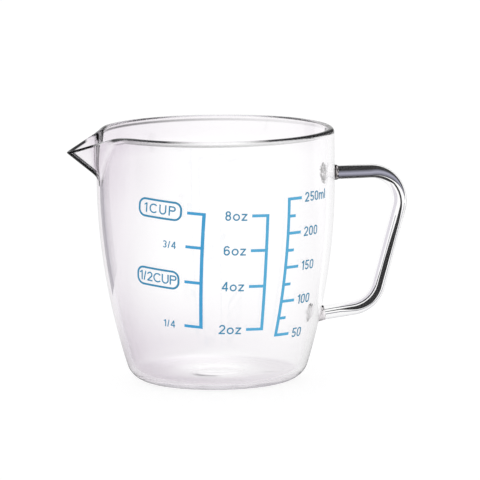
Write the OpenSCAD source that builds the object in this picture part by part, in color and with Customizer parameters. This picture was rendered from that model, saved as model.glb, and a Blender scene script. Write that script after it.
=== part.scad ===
// Small glass measuring jug with a pulled beak, a glass rod handle and three printed scales.
// The foot stands on z = 0, the beak points along -X, the handle along +X and the print faces -Y.

/* [Jug body] */
// Outside diameter of the straight wall and the rim
rim_d = 82; // [74:0.5:100]
// Height of the rim above the table
jug_h = 87; // [84:0.5:110]
// Diameter of the flat that the jug stands on
foot_d = 48; // [36:0.5:54]
// Height at which the side starts to curve in
shoulder_z = 70; // [64:0.5:72]
// Radius of the corner between the side and the foot
corner_r = 7.5; // [5:0.25:9]
// Glass thickness of the side
wall = 2.2; // [1.6:0.1:3]
// Glass thickness of the foot
floor_t = 3; // [2.4:0.1:5]

/* [Beak] */
// How far the tip stands out from the wall
beak_reach = 10.9; // [7:0.1:14]
// How far the tip lies below the rim
tip_drop = 6.8; // [4:0.1:9]
// How far below the rim the keel leaves the wall
keel_drop = 15.8; // [13:0.1:19]
// Width of the beak where it leaves the wall
beak_w = 20; // [14:0.5:24]
// How far the lip has come down from the rim at that place
lip_dip = 2.2; // [1.5:0.1:3.5]
// Width of the dip in the rim
dip_w = 32; // [28:0.5:36]
// Glass thickness of the beak
beak_wall = 1.8; // [1.2:0.1:2.4]

/* [Handle] */
// Diameter of the glass rod
rod_d = 4.9; // [4:0.1:7]
// Distance from the wall to the outside of the handle
handle_reach = 26.8; // [24:0.5:36]
// How far the middle of the upper arm lies below the rim
upper_drop = 17; // [12:0.1:20]
// Height at which the middle of the lower arm meets the wall
lower_z = 20.8; // [16:0.1:30]
// Bend radius at the middle of the rod
bend_r = 10.5; // [8:0.25:12]
// Lean of the grip away from the upright, in degrees
grip_lean = 15.4; // [10:0.1:20]
// Rise of the lower arm away from the wall, in degrees
lower_rise = 6.5; // [0:0.1:10]

/* [Welds] */
// Diameter of the melted seal under the upper arm
upper_weld_d = 7.4; // [6:0.1:9]
// Diameter of the melted seal under the lower arm
lower_weld_d = 6.8; // [6:0.1:9]
// Length of a seal along the rod
weld_l = 2.6; // [1.5:0.1:4]

/* [Print] */
// Thickness of the fired ink
ink_t = 0.1; // [0.05:0.01:0.3]
// Width of the upright line of a scale
spine_w = 1.1; // [0.5:0.05:1.5]
// Width of a tick
tick_w = 1; // [0.4:0.05:1.4]
// Length of a long tick, from the middle of the upright line
tick_l = 5.6; // [4:0.1:8]
// Length of a short tick, from the middle of the upright line
short_tick_l = 2.9; // [2:0.1:4]
// Height of the large figures
figure_h = 3.3; // [2.4:0.1:4]
// Height of the small figures
small_figure_h = 2.5; // [1.8:0.1:3]
// Line width of a figure as a share of its height
figure_weight = 0.145; // [0.1:0.005:0.18]

/* [Cup scale] */
// Direction of the middle of the cup scale, in degrees from the front
cup_turn = -36.5; // [-45:0.5:-30]
// Lean of the cup scale, in degrees
cup_lean = -5; // [-8:0.5:8]
// Heights of the quarter, half, three quarter and full cup marks
cup_z = [24.4, 39.9, 52.1, 63.7]; // [16:0.1:72]
// Place of the upright line of the cup scale, right of the middle
cup_spine_x = 11.2; // [9:0.1:13]
// Place of the middle of the label frames, right of the middle
cup_frame_x = -4.4; // [-6:0.1:-3]
// Width of a label frame
frame_w = 16.5; // [15:0.1:18]
// Height of a label frame
frame_h = 6.6; // [5:0.1:8]
// Corner radius of a label frame
frame_r = 2.7; // [1.5:0.1:3]
// Line width of a label frame
frame_line = 0.7; // [0.3:0.05:0.9]
// Space between the figures of the half cup and the full cup label as a share of their height
label_gaps = [0.11, 0.27]; // [0.08:0.01:0.3]

/* [Ounce scale] */
// Direction of the middle of the ounce scale, in degrees from the front
ounce_turn = 0; // [-5:0.5:5]
// Lean of the ounce scale, in degrees
ounce_lean = -2; // [-8:0.5:8]
// Heights of the 2, 4, 6 and 8 ounce marks
ounce_z = [22.5, 37.6, 50, 61.9]; // [16:0.1:72]
// Place of the upright line of the ounce scale, right of the middle
ounce_spine_x = 8.4; // [7:0.1:10]

/* [Millilitre scale] */
// Direction of the middle of the millilitre scale, in degrees from the front
ml_turn = 37.5; // [30:0.5:45]
// Lean of the millilitre scale, in degrees
ml_lean = -0.5; // [-8:0.5:8]
// Height of the lowest millilitre mark
ml_low_z = 19.4; // [16:0.1:24]
// Distance between millilitre marks
ml_step = 5.88; // [5:0.01:6]
// Place of the upright line of the millilitre scale, right of the middle
ml_spine_x = -9.3; // [-11:0.1:-8]

/* [Hidden] */
$fn = 128;
turned_fn = 256;

glass = [0.88, 0.9, 0.94, 0.45];
ink = [0.27, 0.62, 0.86];

rim_r = rim_d / 2;
foot_r = foot_d / 2;
past = 2;

// The side is one arc, tangent to the straight wall at the shoulder and to the corner arc
side_in = rim_r - foot_r;
side_h = shoulder_z - corner_r;
side_r = (side_in ^ 2 + side_h ^ 2 - corner_r ^ 2) / (2 * (side_in - corner_r));
side_x = rim_r - side_r;
side_turn = asin(side_h / (side_r - corner_r));
corner_steps = 10;
side_steps = 20;
rim_steps = 10;

// Points of an arc from one angle to another, leaving out the given number at its start
function arc_points(centre, r, from, to, steps, skip = 0) = [
    for (i = [skip:steps])
        let (a = from + (to - from) * i / steps)
            centre + r * [cos(a), sin(a)]
];

function reversed(list) = [for (i = [len(list) - 1:-1:0]) list[i]];

// Outside radius at a height above the corner
function outer_r(z) = z >= shoulder_z ? rim_r : side_x + sqrt(side_r ^ 2 - (shoulder_z - z) ^ 2);

// Corner and side of a skin that is grown from the outside by the given amount, up to the shoulder
function skin(grow, start = -90) = concat(
    arc_points([foot_r, corner_r], corner_r + grow, start, -side_turn, corner_steps),
    arc_points([side_x, shoulder_z], side_r + grow, -side_turn, 0, side_steps, 1)
);

// Turns a half section round the axis
module turned(turn = 360) {
    rotate_extrude(angle = turn, $fn = turned_fn)
        children();
}

// Everything inside a skin, up to the given height
module inside_skin(grow, high) {
    turned()
        polygon(concat([[0, -grow]], skin(grow), [[rim_r + grow, high], [0, high]]));
}

// Half section of the glass: outside, rim that is melted round, inside
module glass_section() {
    rim_round = wall / 2;
    inside_start = -asin((corner_r - floor_t) / (corner_r - wall));
    polygon(concat(
        [[0, 0]],
        skin(0),
        arc_points([rim_r - rim_round, jug_h - rim_round], rim_round, 0, 180, rim_steps),
        reversed(skin(-wall, inside_start)),
        [[0, floor_t]]
    ));
}

// The beak, drawn along +X: keel foot and tip in the middle plane, root where a side leaves the wall
keel_foot = [outer_r(jug_h - keel_drop), 0, jug_h - keel_drop];
beak_tip = [rim_r + beak_reach, 0, jug_h - tip_drop];
beak_root = [sqrt(rim_r ^ 2 - (beak_w / 2) ^ 2), beak_w / 2, jug_h - lip_dip];
side_cross = cross(beak_root - keel_foot, beak_tip - keel_foot);
side_normal = side_cross / norm(side_cross);

// Solid between the two flat sides of the beak, moved in by the given amount, up to the given height
module beak_wedge(inset, top) {
    low = keel_foot.z - past;
    back = rim_r - 2 * wall;
    keel_run = (beak_tip.x - keel_foot.x) / (beak_tip.z - keel_foot.z);
    shift = inset / side_normal.x;
    function keel_x(z) = keel_foot.x - shift + (z - keel_foot.z) * keel_run;
    function half_w(z) = (keel_x(z) - back) * side_normal.x / side_normal.y;
    points = [
        [keel_x(low), 0, low], [back, half_w(low), low], [back, -half_w(low), low],
        [keel_x(top), 0, top], [back, half_w(top), top], [back, -half_w(top), top]
    ];
    faces = [[0, 1, 2], [3, 5, 4], [0, 3, 4, 1], [0, 2, 5, 3], [1, 4, 5, 2]];
    polyhedron(points, faces);
}

// Everything above the lip, which runs down from the rim to the root and on to the tip
module lip_cut() {
    dip_x = sqrt(rim_r ^ 2 - (dip_w / 2) ^ 2);
    run_out = 3;
    end_x = beak_tip.x + (beak_tip.x - beak_root.x) * (run_out - 1);
    end_z = beak_tip.z + (beak_tip.z - beak_root.z) * (run_out - 1);
    sky = jug_h + 2 * past;
    rotate([90, 0, 0])
        linear_extrude(dip_w + beak_w, center = true)
            polygon([
                [dip_x, sky], [dip_x, jug_h], [beak_root.x, beak_root.z],
                [end_x, end_z], [end_x, sky]
            ]);
}

// Blown body with its beak: one piece of glass, open at the top
module vessel() {
    color(glass)
        difference() {
            union() {
                turned()
                    glass_section();
                rotate(180)
                    difference() {
                        beak_wedge(0, jug_h - lip_dip / 2);
                        inside_skin(-wall / 2, jug_h + past);
                    }
            }
            rotate(180)
                beak_wedge(beak_wall, jug_h + past);
            rotate(180)
                lip_cut();
        }
}

// Middle line of the handle in the XZ plane: upper arm, bend, grip, bend, lower arm
upper_z = jug_h - upper_drop;
bend_x = rim_r + handle_reach - rod_d / 2 - bend_r;
grip_dir = [-sin(grip_lean), -cos(grip_lean)];
arm_dir = [-cos(lower_rise), -sin(lower_rise)];
grip_top = [bend_x + bend_r * cos(grip_lean), upper_z - bend_r - bend_r * sin(grip_lean)];
lower_end = [outer_r(lower_z), lower_z];
grip_run = ((lower_end.x - grip_top.x) * arm_dir.y - (lower_end.y - grip_top.y) * arm_dir.x)
    / (grip_dir.x * arm_dir.y - grip_dir.y * arm_dir.x);
elbow = grip_top + grip_run * grip_dir;
elbow_turn = 90 - grip_lean - lower_rise;
elbow_cut = bend_r * tan(elbow_turn / 2);
arm_run = norm(elbow - lower_end) - elbow_cut;

// The rod swells a little in a bend, and each straight length runs into the bend by a short way
bend_swell = 0.04;
bend_seat = 0.6;
flare_steps = 6;

// Rod from a point in the XZ plane along a direction given in degrees from +X towards +Z
module rod(from, angle, length, r1, r2) {
    translate([from.x, 0, from.y])
        rotate([0, 90 - angle, 0])
            cylinder(h = length, r1 = r1, r2 = r2);
}

// Bent rod in the XZ plane around a centre, from one angle through a turn
module rod_bend(centre, from, turn) {
    translate([centre.x, 0, centre.y])
        rotate([90, 0, 0])
            rotate(from)
                rotate_extrude(angle = turn)
                    translate([bend_r, 0])
                        circle(rod_d / 2 + bend_swell);
}

// Handle: one bent rod that ends where the two seals begin
module handle() {
    r = rod_d / 2;
    upper_start = [rim_r + weld_l, upper_z];
    grip_end = elbow - elbow_cut * grip_dir;
    elbow_centre = grip_end - bend_r * [cos(grip_lean), -sin(grip_lean)];
    color(glass) {
        rod(upper_start, 0, bend_x - upper_start.x + bend_seat, r, r);
        rod_bend([bend_x, upper_z - bend_r], -grip_lean, 90 + grip_lean);
        rod(grip_end + bend_seat * grip_dir, 90 - grip_lean, norm(grip_end - grip_top) + 2 * bend_seat, r, r);
        rod_bend(elbow_centre, -grip_lean - elbow_turn, elbow_turn);
        rod(lower_end - weld_l * arm_dir, lower_rise, arm_run - weld_l + bend_seat, r, r);
    }
}

// Seal of melted glass that flares from the end of a rod to the wall
module seal(end, angle, weld_d) {
    flare = (weld_d - rod_d) / 2;
    color(glass)
        difference() {
            translate([end.x, 0, end.y])
                rotate([0, 90 - angle, 0])
                    rotate_extrude()
                        polygon([
                            [0, -wall], [weld_d / 2, -wall],
                            for (i = [0:flare_steps])
                                let (a = 90 * i / flare_steps)
                                    [rod_d / 2 + flare * (1 - sin(a)), weld_l * (1 - cos(a))],
                            [0, weld_l]
                        ]);
            inside_skin(0, jug_h);
        }
}

module upper_weld() {
    seal([rim_r, upper_z], 0, upper_weld_d);
}

module lower_weld() {
    seal(lower_end, lower_rise, lower_weld_d);
}

// Lays a flat drawing on the wall: x runs to the right, y is the height above the table
print_mid_z = jug_h / 2;
module on_wall(turn, lean) {
    skin_turn = 60;
    skin_start = -45;
    skin_top = jug_h - wall;
    rotate(turn)
        intersection() {
            rotate(-90 - skin_turn / 2)
                turned(skin_turn)
                    polygon(concat(
                        skin(ink_t, skin_start), [[rim_r + ink_t, skin_top], [rim_r, skin_top]],
                        reversed(skin(0, skin_start))
                    ));
            rotate([90, 0, 0])
                linear_extrude(rim_r + wall)
                    translate([0, print_mid_z])
                        rotate(lean)
                            translate([0, -print_mid_z])
                                children();
        }
}

// Straight line of a figure between two points
module line(a, b, w) {
    translate(a)
        rotate(atan2(b.y - a.y, b.x - a.x))
            translate([0, -w / 2])
                square([norm(b - a), w]);
}

// Round line of a figure: part of a ring, from one angle to a greater one
module arc(centre, r, from, to, w) {
    reach = 2 * (r + w);
    steps = ceil((to - from) / 60);
    translate(centre)
        intersection() {
            difference() {
                circle(r + w / 2);
                circle(r - w / 2);
            }
            polygon([
                [0, 0],
                for (i = [0:steps]) reach * [
                    cos(from + (to - from) * i / steps),
                    sin(from + (to - from) * i / steps)
                ]
            ]);
        }
}

module ring(centre, r, w) {
    translate(centre)
        difference() {
            circle(r + w / 2);
            circle(r - w / 2);
        }
}

// Slot with round ends, standing or lying
module slot(w, h) {
    r = min(w, h) / 2;
    for (side = [-1, 1])
        translate(side * [w / 2 - r, h / 2 - r])
            circle(r);
    square(w > h ? [w - 2 * r, h] : [w, h - 2 * r], center = true);
}

// Rectangle with round corners
module plate(w, h, r) {
    polygon([
        for (corner = [[1, 1, 0], [-1, 1, 90], [-1, -1, 180], [1, -1, 270]])
            each arc_points(
                [corner.x * (w / 2 - r), corner.y * (h / 2 - r)],
                r, corner.z, corner.z + 90, letter_steps
            )
    ]);
}

// Width of each figure as a share of its height
function figure_share(c) =
    c == "1" ? 0.38 : c == "/" ? 0.36 : c == "C" ? 0.88 : c == "U" ? 0.8 : c == "P" ? 0.76
    : c == "o" ? 0.72 : c == "z" ? 0.6 : c == "m" ? 1 : c == "l" ? 0.15 : 0.64;
figure_gap = 0.17;
letter_steps = 8;

// One figure, with its lower left corner at the origin
module figure(c, h) {
    s = h * figure_weight;
    w = h * figure_share(c);
    half = s / 2;
    bowl = (w - s) / 2;
    low_h = h * 0.73;
    if (c == "0") {
        translate([w / 2, h / 2])
            difference() {
                slot(w, h);
                slot(w - 2 * s, h - 2 * s);
            }
    } else if (c == "1") {
        line([w - half, 0], [w - half, h], s);
        line([half / 2, h * 0.76], [w - half, h - half * 0.6], s * 0.9);
    } else if (c == "2") {
        knee = [w / 2 + bowl * cos(30), h - half - bowl - bowl * sin(30)];
        arc([w / 2, h - half - bowl], bowl, -30, 172, s);
        line(knee, [half, half], s);
        line([0, half], [w, half], s);
    } else if (c == "3") {
        r = (h - s) / 4;
        arc([w - half - r, h - half - r], r, -90, 150, s);
        arc([w - half - r, half + r], r, -150, 90, s);
    } else if (c == "4") {
        stem = w * 0.74;
        bar_z = h * 0.28;
        line([stem, 0], [stem, h], s);
        line([0, bar_z], [w, bar_z], s);
        line([half * 0.8, bar_z], [stem - half * 0.4, h - half * 0.7], s);
    } else if (c == "5") {
        r = h * 0.31 - half;
        waist = [half + s * 0.3, h * 0.5];
        line([s * 0.6, h - half], [w, h - half], s);
        line(waist, [s * 1.1, h], s);
        arc([w - half - r, half + r], r, -155, 140, s);
    } else if (c == "6") {
        ring([w / 2, half + bowl], bowl, s);
        line([half, half + bowl], [half, h - half - bowl], s);
        arc([w / 2, h - half - bowl], bowl, 25, 180, s);
    } else if (c == "8") {
        upper = (h - s) * 0.235;
        lower = (h - s) * 0.265;
        ring([w / 2, half + lower], lower, s);
        ring([w / 2, h - half - upper], upper, s);
    } else if (c == "/") {
        line([half, 0], [w - half, h], s * 0.9);
    } else if (c == "C") {
        mouth = 42;
        arc([h / 2, h / 2], (h - s) / 2, mouth, 360 - mouth, s);
    } else if (c == "U") {
        line([half, half + bowl], [half, h], s);
        line([w - half, half + bowl], [w - half, h], s);
        arc([w / 2, half + bowl], bowl, 180, 360, s);
    } else if (c == "P") {
        r = h * 0.28 - half;
        line([half, 0], [half, h], s);
        line([half, h - half], [w - half - r, h - half], s);
        line([half, h - half - 2 * r], [w - half - r, h - half - 2 * r], s);
        arc([w - half - r, h - half - r], r, -90, 90, s);
    } else if (c == "o") {
        ring([w / 2, low_h / 2], (low_h - s) / 2, s);
    } else if (c == "z") {
        line([0, half], [w, half], s);
        line([0, low_h - half], [w, low_h - half], s);
        line([half, half], [w - half, low_h - half], s);
    } else if (c == "m") {
        arch = (w - s) / 4;
        outside = arch + half;
        hollow = arch - half;
        spring_z = low_h - outside;
        valley = acos(arch / outside);
        first = [outside, spring_z];
        second = [w - outside, spring_z];
        polygon(concat(
            [[0, 0], [0, low_h], [s, low_h]],
            arc_points(first, outside, acos(-hollow / outside), valley, letter_steps),
            arc_points(second, outside, 180 - valley, 0, letter_steps, 1),
            [[w, 0], [w - s, 0]],
            arc_points(second, hollow, 0, 180, letter_steps),
            [[second.x - hollow, 0], [first.x + hollow, 0]],
            arc_points(first, hollow, 0, 180, letter_steps),
            [[s, 0]]
        ));
    } else if (c == "l") {
        line([half, 0], [half, h], s);
    }
}

// Distance from the start of a word to its given figure, and so its whole width at its length
function word_x(word, h, i, gap) =
    i == 0 ? 0 : word_x(word, h, i - 1, gap) + h * (figure_share(word[i - 1]) + gap);
function word_w(word, h, gap) = word_x(word, h, len(word), gap) - h * gap;

// Word whose middle height is at the given place; align 0, 0.5 or 1 puts its left, middle or right there
module word(text, h, at, align, gap = figure_gap) {
    translate(at - [word_w(text, h, gap) * align, h / 2])
        for (i = [0:len(text) - 1])
            translate([word_x(text, h, i, gap), 0])
                figure(text[i], h);
}

// Upright line with ticks to one side: side is -1 for the left and 1 for the right
module scale_lines(x, heights, lengths, side) {
    low = heights[0] - tick_w / 2;
    high = heights[len(heights) - 1] + tick_w / 2;
    translate([x - spine_w / 2, low])
        square([spine_w, high - low]);
    for (i = [0:len(heights) - 1])
        translate([x + (side < 0 ? -lengths[i] : 0), heights[i] - tick_w / 2])
            square([lengths[i], tick_w]);
}

figure_space = 1.7;

module cup_scale() {
    color(ink)
        on_wall(cup_turn, cup_lean)
            scale_lines(cup_spine_x, cup_z, [for (z = cup_z) tick_l], -1);
}

framed_marks = [cup_z[1], cup_z[3]];

module cup_frames() {
    color(ink)
        on_wall(cup_turn, cup_lean)
            for (z = framed_marks)
                translate([cup_frame_x, z])
                    difference() {
                        plate(frame_w, frame_h, frame_r);
                        plate(frame_w - 2 * frame_line, frame_h - 2 * frame_line, frame_r - frame_line);
                    }
}

module cup_figures() {
    framed = ["1/2CUP", "1CUP"];
    open = ["1/4", "3/4"];
    open_marks = [cup_z[0], cup_z[2]];
    right_end = cup_spine_x - tick_l - 2 * figure_space;
    color(ink)
        on_wall(cup_turn, cup_lean) {
            for (i = [0, 1])
                word(framed[i], figure_h, [cup_frame_x, framed_marks[i]], 0.5, label_gaps[i]);
            for (i = [0, 1])
                word(open[i], small_figure_h, [right_end, open_marks[i]], 1);
        }
}

module ounce_scale() {
    color(ink)
        on_wall(ounce_turn, ounce_lean)
            scale_lines(ounce_spine_x, ounce_z, [for (z = ounce_z) tick_l], -1);
}

module ounce_figures() {
    right_end = ounce_spine_x - tick_l - figure_space;
    words = ["2oz", "4oz", "6oz", "8oz"];
    color(ink)
        on_wall(ounce_turn, ounce_lean)
            for (i = [0:len(words) - 1])
                word(words[i], figure_h, [right_end, ounce_z[i]], 1);
}

ml_words = ["50", "100", "150", "200", "250ml"];
ml_z = [for (i = [0:2 * len(ml_words) - 2]) ml_low_z + i * ml_step];

module millilitre_scale() {
    lengths = [for (i = [0:len(ml_z) - 1]) i % 2 == 0 ? tick_l : short_tick_l];
    color(ink)
        on_wall(ml_turn, ml_lean)
            scale_lines(ml_spine_x, ml_z, lengths, 1);
}

module millilitre_figures() {
    left_end = ml_spine_x + tick_l + figure_space;
    color(ink)
        on_wall(ml_turn, ml_lean)
            for (i = [0:len(ml_words) - 1])
                word(ml_words[i], figure_h, [left_end, ml_z[2 * i]], 0);
}

vessel();
handle();
upper_weld();
lower_weld();
cup_scale();
cup_frames();
cup_figures();
ounce_scale();
ounce_figures();
millilitre_scale();
millilitre_figures();
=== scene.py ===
"""Small glass measuring jug: a blown body with a pulled beak, a bent rod handle on melted seals and three
fired blue scales."""

import math

import bpy
from bpy.props import FloatProperty, FloatVectorProperty, IntProperty, PointerProperty
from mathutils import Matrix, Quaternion, Vector


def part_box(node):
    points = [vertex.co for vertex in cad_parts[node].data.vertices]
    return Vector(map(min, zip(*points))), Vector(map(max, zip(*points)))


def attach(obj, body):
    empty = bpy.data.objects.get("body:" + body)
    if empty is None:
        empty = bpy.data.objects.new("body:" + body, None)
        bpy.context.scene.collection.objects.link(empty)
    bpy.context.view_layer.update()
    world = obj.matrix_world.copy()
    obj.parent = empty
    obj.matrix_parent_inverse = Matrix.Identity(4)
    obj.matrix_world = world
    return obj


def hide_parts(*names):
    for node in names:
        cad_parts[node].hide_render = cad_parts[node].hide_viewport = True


bl_info = {
    "name": "Glass measuring jug",
    "version": (1, 0, 0),
    "blender": (4, 5, 0),
    "location": "View3D > Sidebar > Jug",
    "description": "Models a glass measuring jug around its CAD frame",
    "category": "Add Mesh",
}

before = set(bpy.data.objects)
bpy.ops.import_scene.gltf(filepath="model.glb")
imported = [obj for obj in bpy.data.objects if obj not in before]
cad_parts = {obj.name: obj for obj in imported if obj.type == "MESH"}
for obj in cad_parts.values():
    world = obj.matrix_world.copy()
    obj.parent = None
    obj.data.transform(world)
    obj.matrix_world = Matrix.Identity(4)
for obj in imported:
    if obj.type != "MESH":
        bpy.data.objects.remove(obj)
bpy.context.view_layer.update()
BODY_LOW, BODY_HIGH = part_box("vessel")
HANDLE_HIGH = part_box("handle")[1]
PRINT_NODES = [
    "cup_scale", "cup_frames", "cup_figures", "ounce_scale", "ounce_figures",
    "millilitre_scale", "millilitre_figures",
]
MM = 0.001
WHITE = (1, 1, 1)

# steps of the body's half section
FOOT_STEPS = 6
CORNER_STEPS = 14
SIDE_STEPS = 30
STRAIGHT_STEPS = 14
RIM_STEPS = 12
LIP_STEPS = 8
FLOOR_STEPS = 16
# steps along the rod, a seal and each stretch of a ribbon
ARM_STEPS = 6
BEND_STEPS = 20
GRIP_STEPS = 10
ELBOW_STEPS = 16
FLARE_STEPS = 10
RIBBON_STEPS = 6
# legs of the rod: upper arm, bend, grip, elbow, lower arm
LEGS = 5
# last row of the straight wall below the melted rim, as a share of the bead
LAST_ROW = 0.4
# how strongly the columns of the body gather towards the beak
GATHER = 0.72
# rounding of the lip where it leaves the rim
LIP_SOFT = 1.2 * MM
# search for the lip: how far below the tip it starts, and how often it halves
LIP_BELOW = 2 * MM
LIP_HALVINGS = 40
# the wall that is pulled with the beak: how far below the keel, and how far round
PULL_BELOW = 6 * MM
PULL_TURN = math.radians(60)
# how far the thin end of a seal stands off the rod
SEAL_STEP = 0.15 * MM
# points closer than this are merged
MERGE = 1e-7
# angles in degrees below which shading is smooth
SMOOTH_ANGLE = 40
SEAL_SMOOTH_ANGLE = 50

# places on the body glass in millimetres: the patch at the front kept clear of painted shade as painted
# highlight, the painted dark marks on the inside floor, the middle of the front rim and the flecks under the
# upper seal
LIT_PATCH = (-5, 0, 10.6)
SHADE_RING = (-0.7, -2.6, 0)
SHADE_RING_RADIUS = 9.4
SHADE_RING_PART = -6.2
SHADE_STREAK = (16.2, -8.5, 0)
RIM_MIDDLE = -7
UPPER_FLECKS_Y = -2
# height in millimetres up to which the painted shade of the foot reaches
LOW_RING_TOP = 39.15
# how much deeper the painted dark crest of the rim reaches at the handle's end
CREST_DEEPER = 0.25 * MM
# depth of the ragged edge of the flecks
RAGGED_DEPTH = 1.6 * MM
# fineness of the patterns in the glass and the print
BODY_WAVES = 18.0
ROD_WAVES = 60.0
RAGGED_EDGE = 400.0
WALL_FLECKS = 900.0
SEAL_FLECKS = 700.0
INK_CLOUDS = 260.0
INK_GRAIN = 2500.0
# detail and twist of the flecks
FLECK_DETAIL = (3.0, 1.5)
# height of the waves and flecks in the skin of the glass and of the grain of the print, and their strength
RIPPLE = 0.2 * MM
GRAIN_HEIGHT = 0.02 * MM
BODY_BUMP = 0.015
ROD_BUMP = 0.02
SEAL_BUMP = 0.8
INK_BUMP = 0.1
# level of the pattern below which a seal is flecked dark, and how softly a fleck ends
UPPER_FLECKED = 0.5
LOWER_FLECKED = 0.36
FLECK_SOFT = 0.06
# darkness of the flecks, as a share of the glass round them
WALL_FLECK_TONE = 0.15
SEAL_FLECK_TONE = 0.02
SEAL_ROUGHNESS = 0.1
INK_ROUGHNESS = 0.35
FLOOR_ROUGHNESS = 0.8

# share of the room's light that a first reflection keeps, and how much of that dimming the backdrop gets
REFLECTED = 0.12
BACKDROP_DIMMED = 0.3
# the floor: how far it lies below the jug, its own light, where it has more, in millimetres, how far that
# reaches, and where the backdrop begins
FLOOR_GAP = 0.05 * MM
FLOOR_GLOW = 0.85
GATHERED_GLOW = 1.06
GATHERED = (-2, 20, 0)
GATHERED_REACH = (8 * MM, 22 * MM)
FLOOR_BACKDROP = 100 * MM
# directions: heights between which the sky dims, and where the backdrop and the handle's side begin
SKY_HEIGHTS = (0.35, 0.65)
SKY_DIM = (0.85, 0.85, 0.87)
BACKDROP_Y = (0.7, 0.2)
HANDLE_X = (0.3, 0.45)
# tones of the dark cards
BLACK = (0.005, 0.005, 0.006)
COAL = (0.03, 0.03, 0.04)
GREY = (0.3, 0.3, 0.33)
DUSK = (0.33, 0.31, 0.36)
SLATE = (0.4, 0.4, 0.5)
PALE = (0.75, 0.73, 0.78)
# rays that cross more surfaces than this don't meet a card
CARD_CROSSINGS = 2.5
# lower and upper row of the card beside the jug, in millimetres
SIDE_CARD = [[(-130, 110, 0), (-62, 128, 0)], [(-130, 110, 90), (-62, 128, 90)]]
# dark ribbons behind the rod: tones of the inner and outer edge, then (place along the rod, inner edge,
# outer edge), where a place counts the legs of the rod and edges are millimetres from its middle line
RIBBONS = {
    "rod_black": (
        BLACK, BLACK, (0.05, -18, -1.2), (1.0, -9.5, -1.2), (1.45, -9, -4.9), (1.62, -8, -5.2),
        (1.85, -6.4, -5.6)),
    "rod_rise": (
        BLACK, SLATE, (0.05, -1.2, 1.3), (1.0, -1.2, 1.3), (1.45, -4.9, -3.0), (1.62, -5.2, -4.2),
        (1.78, -5.6, -5.3)),
    "rod_fall": (
        SLATE, BLACK, (0.05, 1.3, 5.2), (1.0, 1.3, 5.2), (1.45, -3.0, -0.4), (1.62, -4.2, -2.8),
        (1.78, -5.3, -4.9)),
    "rod_dark": (
        BLACK, BLACK, (0.05, 5.2, 18), (1.0, 5.2, 14), (1.5, -0.2, 1.2), (1.9, -2.2, -0.8),
        (2.15, -3.8, -0.8), (2.4, -3.7, -0.1), (2.7, -3.4, 0.6), (3.0, -3.2, 0.8), (3.5, -3.6, 1.0),
        (4.0, -1.8, 1.0), (4.4, 0.0, 0.8), (4.9, 0.1, 0.6)),
    "rod_inner_line": (GREY, GREY, (2.1, 0.5, 1.1), (2.8, 1.2, 1.8)),
    "rod_elbow_line": (
        COAL, COAL, (2.8, 1.2, 1.8), (3.15, 1.9, 3.4), (3.6, 2.0, 3.8), (4.1, 2.0, 3.3),
        (4.5, 2.3, 3.1), (4.9, 2.3, 3.0)),
    "rod_outer_line": (
        GREY, GREY, (1.9, -5.6, -4.6), (3.3, -5.6, -4.6), (4.4, -1.9, -1.1), (4.9, -1.9, -1.1)),
    "rod_pale": (
        PALE, PALE, (1.45, 3.2, 3.4), (1.75, 1.6, 9), (2.05, 2.6, 11), (3.3, 3.9, 11), (3.9, 3.9, 8),
        (4.4, 3.2, 3.3)),
}
# how far behind the rod the ribbons hang
RIBBON_BACK = 12 * MM


class BodySettings(bpy.types.PropertyGroup):
    """Sizes of the blown body and its beak"""

    rim_radius: FloatProperty(
        name="Rim radius", description="Outside radius of the straight wall",
        default=BODY_HIGH.y, unit="LENGTH")
    height: FloatProperty(
        name="Height", description="Height of the rim above the table",
        default=BODY_HIGH.z, unit="LENGTH")
    foot_radius: FloatProperty(
        name="Foot radius", description="Radius of the flat that the jug stands on",
        default=24 * MM, unit="LENGTH")
    corner_radius: FloatProperty(
        name="Corner radius", description="Radius between the side and the foot",
        default=7.5 * MM, unit="LENGTH")
    shoulder: FloatProperty(
        name="Shoulder", description="Height at which the side starts to curve in",
        default=70 * MM, unit="LENGTH")
    wall: FloatProperty(
        name="Wall", description="Glass thickness of the side", default=2.2 * MM, unit="LENGTH")
    floor: FloatProperty(
        name="Floor", description="Glass thickness of the foot at its edge",
        default=3.0 * MM, unit="LENGTH")
    nub: FloatProperty(
        name="Nub", description="Height of the thicker glass in the middle of the inside floor",
        default=0.8 * MM, unit="LENGTH")
    nub_radius: FloatProperty(
        name="Nub radius", description="Radius of the thicker glass in the middle of the inside floor",
        default=10 * MM, unit="LENGTH")
    bead: FloatProperty(
        name="Bead",
        description="Outside radius of the melted rim, which leaves the rest of the wall to the inside",
        default=1.6 * MM, unit="LENGTH")
    print_seat: FloatProperty(
        name="Print seat", description="How far the glass lies below the inside of the print",
        default=0.03 * MM, unit="LENGTH")
    keel_drop: FloatProperty(
        name="Keel drop", description="How far below the rim the keel of the beak leaves the wall",
        default=15.8 * MM, unit="LENGTH")
    tip_drop: FloatProperty(
        name="Tip drop", description="How far the tip of the beak lies below the rim",
        default=6.8 * MM, unit="LENGTH")
    beak_width: FloatProperty(
        name="Beak width", description="Width of the beak where its lip leaves the wall",
        default=22 * MM, unit="LENGTH")
    lip_dip: FloatProperty(
        name="Lip dip", description="How far the lip has come down where it leaves the wall",
        default=1.6 * MM, unit="LENGTH")
    thinning: FloatProperty(
        name="Thinning", description="Glass thickness of the beak as a share of the wall",
        default=0.5)
    crease: FloatProperty(
        name="Crease", description="Softness of the bend between the wall and the beak",
        default=2.4 * MM, unit="LENGTH")
    keel_round: FloatProperty(
        name="Keel rounding", description="Roundness of the keel as a share of the wall's radius",
        default=0.02)
    columns: IntProperty(
        name="Columns", description="Columns of faces round the body", default=224)


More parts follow.
